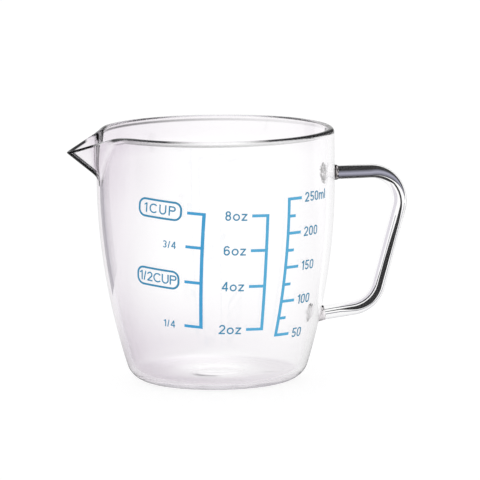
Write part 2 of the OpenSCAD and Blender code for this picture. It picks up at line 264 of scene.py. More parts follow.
class HandleSettings(bpy.types.PropertyGroup):
    """Sizes of the bent rod and its melted seals"""

    rod_radius: FloatProperty(
        name="Rod radius", description="Radius of the glass rod", default=2.45 * MM, unit="LENGTH")
    bend_radius: FloatProperty(
        name="Bend radius", description="Radius of a bend at the middle of the rod",
        default=10.5 * MM, unit="LENGTH")
    grip_lean: FloatProperty(
        name="Grip lean", description="Lean of the grip away from the upright",
        default=math.radians(15.4), subtype="ANGLE")
    arm_rise: FloatProperty(
        name="Arm rise", description="Rise of the lower arm away from the wall",
        default=math.radians(6.5), subtype="ANGLE")
    lower_height: FloatProperty(
        name="Lower height", description="Height at which the lower arm meets the wall",
        default=20.8 * MM, unit="LENGTH")
    upper_seal_length: FloatProperty(
        name="Upper seal length", description="Length of the upper seal along the rod",
        default=2.0 * MM, unit="LENGTH")
    lower_seal_length: FloatProperty(
        name="Lower seal length", description="Length of the lower seal along the rod",
        default=2.6 * MM, unit="LENGTH")
    upper_seal_radius: FloatProperty(
        name="Upper seal radius", description="Radius of the upper seal at the wall",
        default=3.7 * MM, unit="LENGTH")
    lower_seal_radius: FloatProperty(
        name="Lower seal radius", description="Radius of the lower seal at the wall",
        default=3.4 * MM, unit="LENGTH")
    seam: FloatProperty(
        name="Seam", description="Gap that keeps two pieces of glass apart",
        default=0.02 * MM, unit="LENGTH")
    sides: IntProperty(name="Sides", description="Faces round the rod", default=48)


class FinishSettings(bpy.types.PropertyGroup):
    """Colours of the glass and the print"""

    clear: FloatVectorProperty(
        name="Clear glass", description="Colour of the glass where it looks clear",
        default=(1.0, 0.998, 1.0), subtype="COLOR", min=0, max=1)
    # the glass's faint tint, which the rod shows in waves, and the colour of the painted shade over the body
    # towards the beak and the foot
    tint_and_shade: FloatVectorProperty(
        name="Tinted glass", description="Colour of the glass towards the beak and the foot",
        default=(0.8, 0.757, 0.803), subtype="COLOR", min=0, max=1)
    # colour of the painted shade along the melted rim and the keel, and of the painted dark marks on the
    # inside floor
    edge: FloatVectorProperty(
        name="Edge", description="Colour of the melted rim, where light is lost along the wall",
        default=(0.0008, 0.0008, 0.001), subtype="COLOR", min=0, max=1)
    cloudy: FloatVectorProperty(
        name="Cloudy glass", description="Colour of the melted glass of the upper seal",
        default=(0.66, 0.63, 0.63), subtype="COLOR", min=0, max=1)
    milky: FloatVectorProperty(
        name="Milky glass", description="Colour of the paler melted glass of the lower seal",
        default=(0.9, 0.88, 0.89), subtype="COLOR", min=0, max=1)
    refraction: FloatProperty(
        name="Refraction", description="Index of refraction of the glass", default=1.47)
    ink: FloatVectorProperty(
        name="Ink", description="Main colour of the fired print towards the beak",
        default=(0.035, 0.335, 0.65), subtype="COLOR", min=0, max=1)
    pale_ink: FloatVectorProperty(
        name="Pale ink", description="Main colour of the fired print towards the handle",
        default=(0.09, 0.435, 0.71), subtype="COLOR", min=0, max=1)
    fine_ink: FloatVectorProperty(
        name="Fine ink", description="Colour of the print in the fine lines of the figures towards the beak",
        default=(0.03, 0.26, 0.47), subtype="COLOR", min=0, max=1)
    pale_fine_ink: FloatVectorProperty(
        name="Pale fine ink",
        description="Colour of the print in the fine lines of the figures towards the handle",
        default=(0.07, 0.28, 0.45), subtype="COLOR", min=0, max=1)


class StageSettings(bpy.types.PropertyGroup):
    """Camera, floor and light"""

    azimuth: FloatProperty(
        name="Azimuth", description="Direction of the camera from the front of the jug",
        default=math.radians(-12.5), subtype="ANGLE")
    elevation: FloatProperty(
        name="Elevation", description="Height of the camera above the level, as an angle",
        default=math.radians(8.41), subtype="ANGLE")
    roll: FloatProperty(
        name="Roll", description="Turn of the camera about its line of sight",
        default=math.radians(-0.6), subtype="ANGLE")
    distance: FloatProperty(
        name="Distance", description="Distance of the camera from the middle of the jug",
        default=1.6, unit="LENGTH")
    lens: FloatProperty(name="Lens", description="Focal length in millimetres", default=348.0)
    shift: FloatVectorProperty(
        name="Shift", description="Shift of the picture across and up",
        default=(0.0492, 0.0275), size=2)
    bounces: IntProperty(
        name="Bounces", description="How often light is followed from glass to glass", default=160)
    floor_size: FloatProperty(
        name="Floor size", description="Width of the floor", default=12.0, unit="LENGTH")
    floor_colour: FloatVectorProperty(
        name="Floor", description="Colour of the floor", default=(0.17, 0.17, 0.17),
        subtype="COLOR", min=0, max=1)


def deselect_all():
    """Goes back to object mode and clears the selection"""
    if bpy.context.object and bpy.context.object.mode != "OBJECT":
        bpy.ops.object.mode_set(mode="OBJECT")
    bpy.ops.object.select_all(action="DESELECT")


def arc(centre, radius, start, end, steps, skip=0):
    """Points of an arc in the half section, from one angle in degrees to another"""
    angles = [math.radians(start + (end - start) * i / steps) for i in range(skip, steps + 1)]
    return [(centre[0] + radius * math.cos(a), centre[1] + radius * math.sin(a)) for a in angles]


def smooth_max(a, b, soft):
    """The larger of two values, with the bend between them rounded"""
    near = max(soft - abs(a - b), 0) / soft
    return max(a, b) + near * near * soft / 4


def smooth_step(x):
    """Runs smoothly from 0 to 1"""
    x = min(max(x, 0), 1)
    return x * x * (3 - 2 * x)


def curve_radius(s):
    """Radius of the curved side, which runs from the corner up to the shoulder"""
    side_in = s.rim_radius - s.foot_radius
    side_up = s.shoulder - s.corner_radius
    return (side_in ** 2 + side_up ** 2 - s.corner_radius ** 2) / (2 * (side_in - s.corner_radius))


def wall_radius(s, z):
    """Outside radius of the body at a height on its curved side"""
    if z >= s.shoulder:
        return s.rim_radius
    curve = curve_radius(s)
    return s.rim_radius - curve + math.sqrt(curve ** 2 - (s.shoulder - z) ** 2)


def wall_touch(s, co):
    """How far along X the outside of the wall lies at a point's height and depth"""
    return math.sqrt(wall_radius(s, co.z) ** 2 - co.y ** 2)


def upper_height(s):
    """Height of the middle of the upper arm"""
    return HANDLE_HIGH.z - s.rod_radius


def skin_section(s, grow, start):
    """Corner and side of a skin that is moved in or out, from a start angle up to the shoulder"""
    curve = curve_radius(s)
    turn = math.degrees(math.asin((s.shoulder - s.corner_radius) / (curve - s.corner_radius)))
    corner = arc((s.foot_radius, s.corner_radius), s.corner_radius + grow, start, -turn, CORNER_STEPS)
    side = arc((s.rim_radius - curve, s.shoulder), curve + grow, -turn, 0, SIDE_STEPS, 1)
    return corner + side


def body_section(s):
    """Half section as (radius, height), from the middle of the foot round to the middle of the inside"""
    outer = s.rim_radius - s.print_seat
    inner = outer - s.wall
    rim = (outer - s.bead, s.height - s.bead)
    lip = s.wall - s.bead
    inner_corner = s.corner_radius - s.wall
    start = -math.degrees(math.asin((s.corner_radius - s.floor) / inner_corner))
    outside = skin_section(s, -s.print_seat, -90)
    inside = skin_section(s, -s.wall - s.print_seat, start)
    straight = [s.shoulder + (rim[1] - s.shoulder) * i / STRAIGHT_STEPS for i in range(1, STRAIGHT_STEPS)]
    straight[-1] = rim[1] - LAST_ROW * s.bead
    foot = [(s.foot_radius * i / FOOT_STEPS, 0.0) for i in range(1, FOOT_STEPS)]
    floor_r = inside[0][0]
    floor = [(floor_r * i / FLOOR_STEPS, s.floor) for i in range(FLOOR_STEPS - 1, 0, -1)]
    floor = [(r, z + s.nub * max(0, 1 - (r / s.nub_radius) ** 2) ** 2) for r, z in floor]
    return (
        foot + outside
        + [(outer, z) for z in straight]
        + arc(rim, s.bead, 0, 90, RIM_STEPS)
        + arc((inner + lip, s.height - lip), lip, 90, 180, LIP_STEPS, 1)
        + [(inner, z) for z in reversed(straight)]
        + inside[::-1] + floor
    )


class Beak:
    """The pulled beak: two flat sides that meet in a keel, rolled softly into the wall"""

    def __init__(self, s):
        self.s = s
        self.tip = -BODY_LOW.x - s.print_seat
        self.foot_z = s.height - s.keel_drop
        self.tip_z = s.height - s.tip_drop
        self.crest = s.bead * s.thinning
        half = s.beak_width / 2
        self.root = Vector((math.sqrt(s.rim_radius ** 2 - half ** 2), half, s.height - s.lip_dip))
        foot = Vector((s.rim_radius, 0, self.foot_z))
        tip = Vector((self.tip, 0, self.tip_z))
        self.normal = (self.root - foot).cross(tip - foot).normalized()
        self.offset = self.normal.dot(foot)

    def lip_slope(self):
        """How much the lip comes down for each step along the beak"""
        return (self.root.z - self.tip_z - self.crest) / (self.tip - 2 * self.crest - self.root.x)

    def keel_slope(self):
        """How much the keel rises for each step along the beak"""
        return (self.tip_z - self.foot_z) / (self.tip - self.s.rim_radius)

    def side_radius(self, turn, z):
        """Distance of a flat side from the axis of the body, and how squarely it faces away from the axis"""
        s = self.s
        across = math.sqrt(math.sin(turn) ** 2 + s.keel_round ** 2) - s.keel_round
        facing = self.normal.x * math.cos(turn) + self.normal.y * across
        return (self.offset - self.normal.z * z) / facing, facing

    def lip_height(self, reach):
        """Height of the lip at a distance along the beak"""
        top, end = self.tip_z + self.crest, self.tip - 2 * self.crest
        line = top + self.lip_slope() * (end - reach)
        return -smooth_max(-self.s.height, -line, LIP_SOFT)

    def wall_at(self, turn, z):
        """Outside radius of the wall with its beak, and its thickness along the radius over the plain one"""
        s = self.s
        outer = s.rim_radius - s.print_seat
        flat, facing = self.side_radius(turn, z)
        share = smooth_step((flat - outer + s.crease) / (2 * s.crease))
        return smooth_max(outer, flat, s.crease), 1 + share * (s.thinning / facing - 1)

    def lip(self, turn):
        """Height of the lip in a direction, found where the side meets it"""
        low, high = self.tip_z - LIP_BELOW, self.s.height
        for _ in range(LIP_HALVINGS):
            z = (low + high) / 2
            radius, thin = self.wall_at(turn, z)
            if z < self.lip_height((radius - self.s.bead * thin) * math.cos(turn)):
                low = z
            else:
                high = z
        return low

    def pull(self, co):
        """Where a point of the round body goes when the beak is pulled out"""
        s = self.s
        turn = math.atan2(co.y, -co.x)
        base = self.foot_z - PULL_BELOW
        if abs(turn) > PULL_TURN or co.z < base:
            return co
        lip = self.lip(turn)
        depth = s.rim_radius - s.print_seat - math.hypot(co.x, co.y)
        below = s.height - co.z
        below -= min(below, s.bead) * (1 - s.thinning) * smooth_step((s.height - lip) / s.lip_dip)
        z = s.height - below - (s.height - lip) * smooth_step((s.height - below - base) / (s.height - base))
        radius, thin = self.wall_at(turn, z)
        radius -= depth * thin
        return Vector((-radius * math.cos(turn), radius * math.sin(turn), z))


def gather_columns(co):
    """Moves the columns of the first ring closer together towards the beak"""
    turn = math.atan2(co.y, -co.x)
    turn -= GATHER * math.sin(turn)
    radius = math.hypot(co.x, co.y)
    return Vector((-radius * math.cos(turn), radius * math.sin(turn), co.z))


def start_ring(context, name, sides, radius, location=(0, 0, 0), tilt=0.0):
    """Adds the circle that a piece is drawn from"""
    deselect_all()
    bpy.ops.mesh.primitive_circle_add(
        vertices=sides, radius=radius, location=location, rotation=(0, tilt, 0))
    piece = context.object
    piece.name = name
    bpy.ops.object.transform_apply(location=True, rotation=True, scale=True)
    return piece


def edit_all():
    """Opens the mesh with everything selected"""
    bpy.ops.object.mode_set(mode="EDIT")
    bpy.ops.mesh.select_all(action="SELECT")


def draw_out(step, count=1):
    """Draws the selected ring out along a straight line"""
    for _ in range(count):
        bpy.ops.mesh.extrude_region_move(TRANSFORM_OT_translate={"value": step / count})


def close_ring():
    """Closes the selected ring with a fan of faces"""
    bpy.ops.mesh.edge_face_add()
    bpy.ops.mesh.poke()


def select_open_rings():
    """Selects the rings that are still open"""
    bpy.ops.mesh.select_all(action="DESELECT")
    bpy.ops.mesh.select_mode(type="EDGE")
    bpy.ops.mesh.select_non_manifold()


def close_both_ends():
    """Closes the selected ring, then the one that the piece was started from"""
    close_ring()
    select_open_rings()
    close_ring()
    bpy.ops.object.mode_set(mode="OBJECT")


def finish_mesh(angle=SMOOTH_ANGLE):
    """Merges doubles, turns the faces outwards and smooths the shading"""
    bpy.ops.object.mode_set(mode="EDIT")
    bpy.ops.mesh.select_mode(type="VERT")
    bpy.ops.mesh.select_all(action="SELECT")
    bpy.ops.mesh.remove_doubles(threshold=MERGE)
    bpy.ops.mesh.normals_make_consistent(inside=False)
    bpy.ops.object.mode_set(mode="OBJECT")
    bpy.ops.object.transform_apply(location=True, rotation=True, scale=True)
    bpy.ops.object.shade_smooth_by_angle(angle=math.radians(angle))


class Web:
    """The node tree of a material or the world, with short ways to add nodes"""

    def __init__(self, owner):
        owner.use_nodes = True
        self.nodes = owner.node_tree.nodes
        self.links = owner.node_tree.links

    def put(self, kind, operation, *values):
        """Adds a node and gives its inputs: each one the output of another node, or a value"""
        node = self.nodes.new(kind)
        if operation:
            node.operation = operation
        for socket, value in zip(node.inputs, values):
            if isinstance(value, bpy.types.NodeSocket):
                self.links.new(value, socket)
            else:
                socket.default_value = value
        return node

    def math(self, operation, *values):
        """A calculation with one, two or three values"""
        return self.put("ShaderNodeMath", operation, *values).outputs["Value"]

    def line(self, value, slope, start):
        """A straight line over a value"""
        return self.math("ADD", self.math("MULTIPLY", value, slope), start)

    def off(self, value, middle):
        """How far a value is from a middle one, to either side"""
        return self.math("ABSOLUTE", self.math("SUBTRACT", value, middle))

    def larger(self, a, b):
        """The larger of two values"""
        return self.math("MAXIMUM", a, b)

    def all_of(self, *masks):
        """The product of masks"""
        result = masks[0]
        for mask in masks[1:]:
            result = self.math("MULTIPLY", result, mask)
        return result

    def axes(self, place):
        """X, Y and Z of a place"""
        split = self.put("ShaderNodeSeparateXYZ", None, place)
        return split.outputs["X"], split.outputs["Y"], split.outputs["Z"]

    def distance(self, place, centre, counted):
        """Distance from a centre in millimetres, with each direction counted more or less"""
        away = self.put("ShaderNodeVectorMath", "SUBTRACT", place, Vector(centre) * MM).outputs["Vector"]
        part = self.put("ShaderNodeVectorMath", "MULTIPLY", away, counted).outputs["Vector"]
        return self.put("ShaderNodeVectorMath", "LENGTH", part).outputs["Value"]

    def run(self, value, start, end, low=0.0, high=1.0):
        """Runs straight from low to high while a value runs from start to end"""
        return self.put("ShaderNodeMapRange", None, value, start, end, low, high).outputs["Result"]

    def fade(self, value, start, end, low=0.0, high=1.0):
        """Runs smoothly from low to high while a value runs from start to end"""
        result = self.run(value, start, end, low, high)
        result.node.interpolation_type = "SMOOTHSTEP"
        return result

    def mask(self, lengths, *spans):
        """Product of fades: each has the name of a length, its start and end in millimetres, low and high"""
        return self.all_of(*(
            self.fade(lengths[name], start * MM, end * MM, *values) for name, start, end, *values in spans))

    def blend(self, share, a, b):
        """Blends from one colour to another"""
        node = self.nodes.new("ShaderNodeMix")
        node.data_type = "RGBA"
        self.links.new(share, node.inputs["Factor"])
        for socket, colour in ((node.inputs["A"], a), (node.inputs["B"], b)):
            if isinstance(colour, bpy.types.NodeSocket):
                self.links.new(colour, socket)
            else:
                socket.default_value = (*colour, 1)
        return node.outputs["Result"]

    def noise(self, place, scale, detail=1.0, distortion=0.0):
        """A cloudy pattern"""
        node = self.nodes.new("ShaderNodeTexNoise")
        node.inputs["Scale"].default_value = scale
        node.inputs["Detail"].default_value = detail
        node.inputs["Distortion"].default_value = distortion
        self.links.new(place, node.inputs["Vector"])
        return node.outputs["Fac"]

    def bump(self, height, strength, distance, shader):
        """Lets a pattern raise the skin"""
        node = self.nodes.new("ShaderNodeBump")
        node.inputs["Strength"].default_value = strength
        node.inputs["Distance"].default_value = distance
        self.links.new(height, node.inputs["Height"])
        self.links.new(node.outputs["Normal"], shader.inputs["Normal"])

    def ray(self, fact):
        """What the renderer knows of a ray of light"""
        return self.nodes.new("ShaderNodeLightPath").outputs[fact]

    def mix(self, share, a, b):
        """A share of one shader over another"""
        return self.put("ShaderNodeMixShader", None, share, a, b).outputs["Shader"]

    def show(self, shader):
        """Gives a shader to the output"""
        output = next(node for node in self.nodes if "Surface" in node.inputs)
        self.links.new(shader, output.inputs["Surface"])


def new_material(name):
    """A material with its node tree, principled shader and Object coordinates"""
    material = bpy.data.materials.new(name)
    web = Web(material)
    shader = web.nodes["Principled BSDF"]
    place = web.nodes.new("ShaderNodeTexCoord").outputs["Object"]
    return material, web, shader, place


def new_glass(name, finish, roughness=0.0):
    """A material of clear glass, still without a colour"""
    material, web, shader, place = new_material(name)
    shader.inputs["Transmission Weight"].default_value = 1.0
    shader.inputs["IOR"].default_value = finish.refraction
    shader.inputs["Roughness"].default_value = roughness
    return material, web, shader, place


def body_lengths(web, place, body, handle):
    """Lengths that the marks of the body glass run along: its axes, and distances from its edges and marks"""
    beak = Beak(body)
    x, y, z = web.axes(place)
    radius = web.distance(place, (0, 0, 0), (1, 1, 0))
    lip = web.line(x, beak.lip_slope(), beak.root.z + beak.lip_slope() * beak.root.x)
    under_lip = web.math("SUBTRACT", web.math("MINIMUM", lip, body.height), z)
    keel = web.line(x, -beak.keel_slope(), beak.foot_z - beak.keel_slope() * body.rim_radius)
    upper_seal = web.distance(place, (0, UPPER_FLECKS_Y, upper_height(handle) / MM), (0, 0.65, 1))
    ragged = web.math("MULTIPLY", web.noise(place, RAGGED_EDGE, 2.0), RAGGED_DEPTH)
    return {
        "x": x, "y": y, "z": z, "radius": radius,
        "under_rim": web.math("SUBTRACT", body.height, z),
        "in_from_rim": web.math("SUBTRACT", body.rim_radius, radius),
        "off_rim_middle": web.off(x, RIM_MIDDLE * MM),
        "under_lip": under_lip,
        "off_bead": web.off(under_lip, body.bead),
        "over_keel": web.math("SUBTRACT", z, keel),
        "off_patch": web.distance(place, LIT_PATCH, (1, 0, 3)),
        "off_ring": web.off(web.distance(place, SHADE_RING, (1, 1, 0)), SHADE_RING_RADIUS * MM),
        "off_ring_part": web.off(x, SHADE_RING_PART * MM),
        "off_streak": web.distance(place, SHADE_STREAK, (0.3, 1, 0)),
        "off_upper_seal": web.math("ADD", upper_seal, ragged),
        "off_lower_seal": web.distance(place, (0, 0, handle.lower_height / MM), (0, 1, 1)),
    }


def tint_and_painted_shade(web, at):
    """Faint tint of the wall with painted shade over it: to both sides, in the foot with a patch at its front
    left clear as painted highlight, and on the mouth's back
    """
    # painted shade over a faint tint, darker to both sides of the wall
    beak_side = web.mask(at, ("x", -20, -47, 0.0, 0.9))
    high_side = web.mask(at, ("x", -2, -31, 0.0, 0.22), ("z", 56, 76))
    before_beak = web.mask(at, ("radius", 41, 44, 1.0, 0.2))
    handle_side = web.mask(at, ("x", 29, 42, 0.0, 0.3))
    # painted shade in the foot, where the floor shows darker through the glass
    low_ring = web.mask(at, ("z", LOW_RING_TOP, 0, 0.0, 0.44), ("radius", 4, 24), ("x", 30, -34, 0.35, 1.6))
    # the patch at the front and the low back floor are kept clear of that painted shade, as painted highlight
    round_patch = web.larger(web.mask(at, ("off_patch", 7, 20)), web.mask(at, ("y", -12, 0)))
    off_back_floor = web.larger(web.mask(at, ("z", 2, 9, 0.3)), web.mask(at, ("y", 0, -12)))
    # painted shade on the back of the mouth
    mouth_back = web.mask(at, ("under_rim", 14, 5), ("y", -2, 12), ("x", 24, -24, 0.3, 0.65))
    # painted shade along the lower edge of the foot
    foot_edge = web.mask(at, ("z", 3, 0.5, 0.0, 1.2), ("radius", 14, 22))
    tint = web.all_of(web.math("ADD", beak_side, high_side), before_beak)
    for part in (handle_side, web.all_of(low_ring, round_patch, off_back_floor), mouth_back, foot_edge):
        tint = web.math("ADD", tint, part)
    return tint


def rim_shade(web, at):
    """Painted shade on the melted rim: black along its crest at both ends of the front and along the lip,
    grey where it starts
    """
    front = web.mask(at, ("y", 4, -10))
    front_ends = web.all_of(web.mask(at, ("off_rim_middle", 4, 18)), front)
    handle_end = web.mask(at, ("x", 37.5, 39.5, 0.0, 0.6))
    wall_crest = web.all_of(web.larger(front_ends, handle_end), web.mask(at, ("x", -40.5, -38.5)))
    deeper = web.all_of(front, web.mask(at, ("x", 14, 31, 0.0, CREST_DEEPER)))
    under_crest = web.math("SUBTRACT", at["under_lip"], deeper)
    crest = web.all_of(
        web.fade(under_crest, 0.95 * MM, 0.45 * MM),
        web.larger(wall_crest, web.mask(at, ("x", -43, -44.5))))
    front_line = web.mask(
        at, ("off_bead", 0.35, 0.05), ("x", 12, -35, 0.45, 0.7), ("x", 33, 26, 0.2), ("y", 2, -2))
    back_line = web.mask(
        at, ("off_bead", 0.7, 0.15), ("x", 39, -29, 0.3, 0.95), ("x", 40, 37, 0.2), ("y", -2, 2),
        ("in_from_rim", 0.9, 1.4))
    lines = web.all_of(web.larger(front_line, back_line), web.mask(at, ("x", -40, -36)))
    return web.larger(crest, lines)


def keel_shade(web, at):
    """Painted shade along the keel of the beak: black where the glass is thick"""
    return web.mask(at, ("over_keel", 1.5, 1.15), ("x", -41.2, -42.2))


def floor_shade_marks(web, at):
    """Painted shade on the inside floor: short dark marks, part of a ring and a streak, for the dark arcs
    that the foot's glass shows
    """
    ring = web.mask(at, ("off_ring", 2.5, 0.7, 0.0, 0.92), ("off_ring_part", 6, 2), ("y", -3, -6))
    streak = web.mask(at, ("off_streak", 1.3, 0.4, 0.0, 0.4))
    return web.all_of(web.larger(ring, streak), web.mask(at, ("z", 4.2, 3.9), ("z", 1.5, 2)))


def seal_flecks(web, place, at):
    """Dark flecks in the wall under the two seals"""
    drawn = web.put("ShaderNodeVectorMath", "MULTIPLY", place, (1, 0.25, 1)).outputs["Vector"]
    flecks = web.fade(web.noise(drawn, WALL_FLECKS, *FLECK_DETAIL), 0.5 + FLECK_SOFT, 0.5 - FLECK_SOFT, 0.1)
    upper = web.mask(at, ("off_upper_seal", 4.5, 4.1))
    lower = web.mask(at, ("off_lower_seal", 3.4, 2.9, 0.0, 0.4))
    return web.all_of(web.larger(upper, lower), web.mask(at, ("x", 20, 25)), flecks)


def body_glass(name, finish, body, handle):
    """Blown glass: a faint tint with painted shade to both sides and in the foot, painted dark shade along
    its rim and keel, flecked under the seals
    """
    material, web, shader, place = new_glass(name, finish)
    at = body_lengths(web, place, body, handle)
    # the glass's faint tint, with painted shade over it to both sides, in the foot and on the mouth's back
    colour = web.blend(tint_and_painted_shade(web, at), finish.clear, finish.tint_and_shade)
    # painted shade: black along the rim's crest and the keel, grey lines where the rim starts
    colour = web.blend(web.larger(rim_shade(web, at), keel_shade(web, at)), colour, finish.edge)
    # painted shade: short dark marks on the inside floor
    colour = web.blend(floor_shade_marks(web, at), colour, finish.edge)
    dark = tuple(WALL_FLECK_TONE * c for c in finish.cloudy)
    colour = web.blend(seal_flecks(web, place, at), colour, dark)
    web.links.new(colour, shader.inputs["Base Color"])
    web.bump(web.noise(place, BODY_WAVES), BODY_BUMP, RIPPLE, shader)
    return material


def rod_glass(name, finish):
    """Drawn glass of the rod: clear, with slow waves and a breath of tint"""
    material, web, shader, place = new_glass(name, finish)
    waves = web.noise(place, ROD_WAVES)
    colour = web.blend(web.fade(waves, 0.3, 0.8, 0.0, 0.2), finish.clear, finish.tint_and_shade)
    web.links.new(colour, shader.inputs["Base Color"])
    web.bump(waves, ROD_BUMP, RIPPLE, shader)
    return material


def seal_glass(name, finish, colour, flecked, height):
    """Melted glass of a seal: cloudy, with dark flecks, more of them above and below its middle, and a rough
    skin
    """
    material, web, shader, place = new_glass(name, finish, SEAL_ROUGHNESS)
    flecks = web.noise(place, SEAL_FLECKS, *FLECK_DETAIL)
    off_middle = web.off(web.axes(place)[2], height)
    # more of the seal is flecked dark above and below its middle
    darker_off_middle = web.fade(off_middle, 2.0 * MM, 2.8 * MM, 0.0, 0.35)
    level = web.math("SUBTRACT", flecks, darker_off_middle)
    dark = tuple(SEAL_FLECK_TONE * c for c in colour)
    colour = web.blend(web.fade(level, flecked - FLECK_SOFT, flecked + FLECK_SOFT), dark, colour)
    web.links.new(colour, shader.inputs["Base Color"])
    web.bump(flecks, SEAL_BUMP, RIPPLE, shader)
    return material


def ink_material(name, colour, pale):
    """Fired enamel: blue, paler towards the handle and laid on thinner in places, with a soft gloss"""
    material, web, shader, place = new_material(name)
    shader.inputs["Roughness"].default_value = INK_ROUGHNESS
    # paler towards the handle, and in random clouds
    handle_side = web.fade(web.axes(place)[0], -18 * MM, 14 * MM, 0.0, 0.85)
    clouds = web.fade(web.noise(place, INK_CLOUDS, 3.0), 0.3, 0.7, 0.0, 0.3)
    thin = web.math("ADD", handle_side, clouds)
    web.links.new(web.blend(thin, colour, pale), shader.inputs["Base Color"])
    web.bump(web.noise(place, INK_GRAIN, 2.0), INK_BUMP, GRAIN_HEIGHT, shader)
    return material


class JUG_OT_body(bpy.types.Operator):
    """Draws the body up ring by ring and pulls its beak"""

    bl_idname = "jug.body"
    bl_label = "Blown body"

    def execute(self, context):
        s = context.scene.jug_body
        finish = context.scene.jug_finish
        section = body_section(s)
        piece = start_ring(context, "jug_body", s.columns, section[0][0])
        for v in piece.data.vertices:
            v.co = gather_columns(v.co)
        edit_all()
        for (r, z), (last_r, last_z) in zip(section[1:], section):
            draw_out(Vector((0, 0, z - last_z)))
            bpy.ops.transform.resize(value=(r / last_r, r / last_r, 1), center_override=(0, 0, z))
        close_both_ends()
        beak = Beak(s)
        for v in piece.data.vertices:
            v.co = beak.pull(v.co)
        finish_mesh()
        piece.data.materials.append(body_glass("Body glass", finish, s, context.scene.jug_handle))
        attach(piece, "root")
        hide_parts("vessel")
        return {"FINISHED"}


def handle_line(s, body):
    """The middle line of the rod: its ends, the centres of its bends, and the directions and runs between"""
    r = s.bend_radius
    across = Vector((math.cos(s.grip_lean), 0, -math.sin(s.grip_lean)))
    top_centre = Vector((HANDLE_HIGH.x - s.rod_radius - r, 0, upper_height(s) - r))
    grip_top = top_centre + r * across
    grip = Vector((-math.sin(s.grip_lean), 0, -math.cos(s.grip_lean)))
    arm = Vector((-math.cos(s.arm_rise), 0, -math.sin(s.arm_rise)))
    lower_end = Vector((wall_radius(body, s.lower_height), 0, s.lower_height))
    gap = lower_end - grip_top
    run = (gap.x * arm.z - gap.z * arm.x) / (grip.x * arm.z - grip.z * arm.x)
    elbow = grip_top + run * grip
    turn = math.pi / 2 - s.grip_lean - s.arm_rise
    cut = r * math.tan(turn / 2)
    grip_end = elbow - cut * grip
    return {
        "upper_end": Vector((body.rim_radius, 0, upper_height(s))), "top_centre": top_centre,
        "grip": grip, "grip_run": (grip_end - grip_top).length, "elbow_centre": grip_end - r * across,
        "elbow_turn": turn, "arm": arm, "lower_end": lower_end,
        "arm_run": (elbow - lower_end).length - cut,
    }


def rod_place(s, line, place):
    """Middle of the rod and its outward direction at a place, counted in legs from the upper seal"""
    leg = min(int(place), LEGS - 1)
    share = place - leg
    turn, centre = math.pi / 2, line["top_centre"].copy()
    if leg == 0:
        centre.x -= (1 - share) * (centre.x - line["upper_end"].x)
    elif leg == 1:
        turn -= share * (math.pi / 2 + s.grip_lean)
    elif leg == 2:
        turn = -s.grip_lean
        centre += share * line["grip_run"] * line["grip"]
    else:
        turn = -s.grip_lean - min(place - 3, 1) * line["elbow_turn"]
        centre = line["elbow_centre"] + max(place - 4, 0) * line["arm_run"] * line["arm"]
    out = Vector((math.cos(turn), 0, math.sin(turn)))
    return centre + s.bend_radius * out, out


class JUG_OT_handle(bpy.types.Operator):
    """Bends the rod of the handle from the upper seal to the lower one"""

    bl_idname = "jug.handle"
    bl_label = "Rod handle"

    def execute(self, context):
        s = context.scene.jug_handle
        body = context.scene.jug_body
        finish = context.scene.jug_finish
        line = handle_line(s, body)
        start = line["upper_end"] + Vector((s.seam, 0, 0))
        piece = start_ring(context, "handle_rod", s.sides, s.rod_radius, start, math.pi / 2)
        edit_all()
        draw_out(Vector((line["top_centre"].x - start.x, 0, 0)), ARM_STEPS)
        bpy.ops.mesh.spin(
            steps=BEND_STEPS, angle=math.pi / 2 + s.grip_lean, center=line["top_centre"], axis=(0, -1, 0))
        draw_out(line["grip"] * line["grip_run"], GRIP_STEPS)
        bpy.ops.mesh.spin(
            steps=ELBOW_STEPS, angle=line["elbow_turn"], center=line["elbow_centre"], axis=(0, -1, 0))
        draw_out(line["arm"] * (line["arm_run"] - s.seam), ARM_STEPS)
        close_both_ends()
        for v in piece.data.vertices:
            v.co.x = max(v.co.x, wall_touch(body, v.co) + s.seam)
        finish_mesh()
        piece.data.materials.append(rod_glass("Handle glass", finish))
        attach(piece, "root")
        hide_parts("handle")
        return {"FINISHED"}


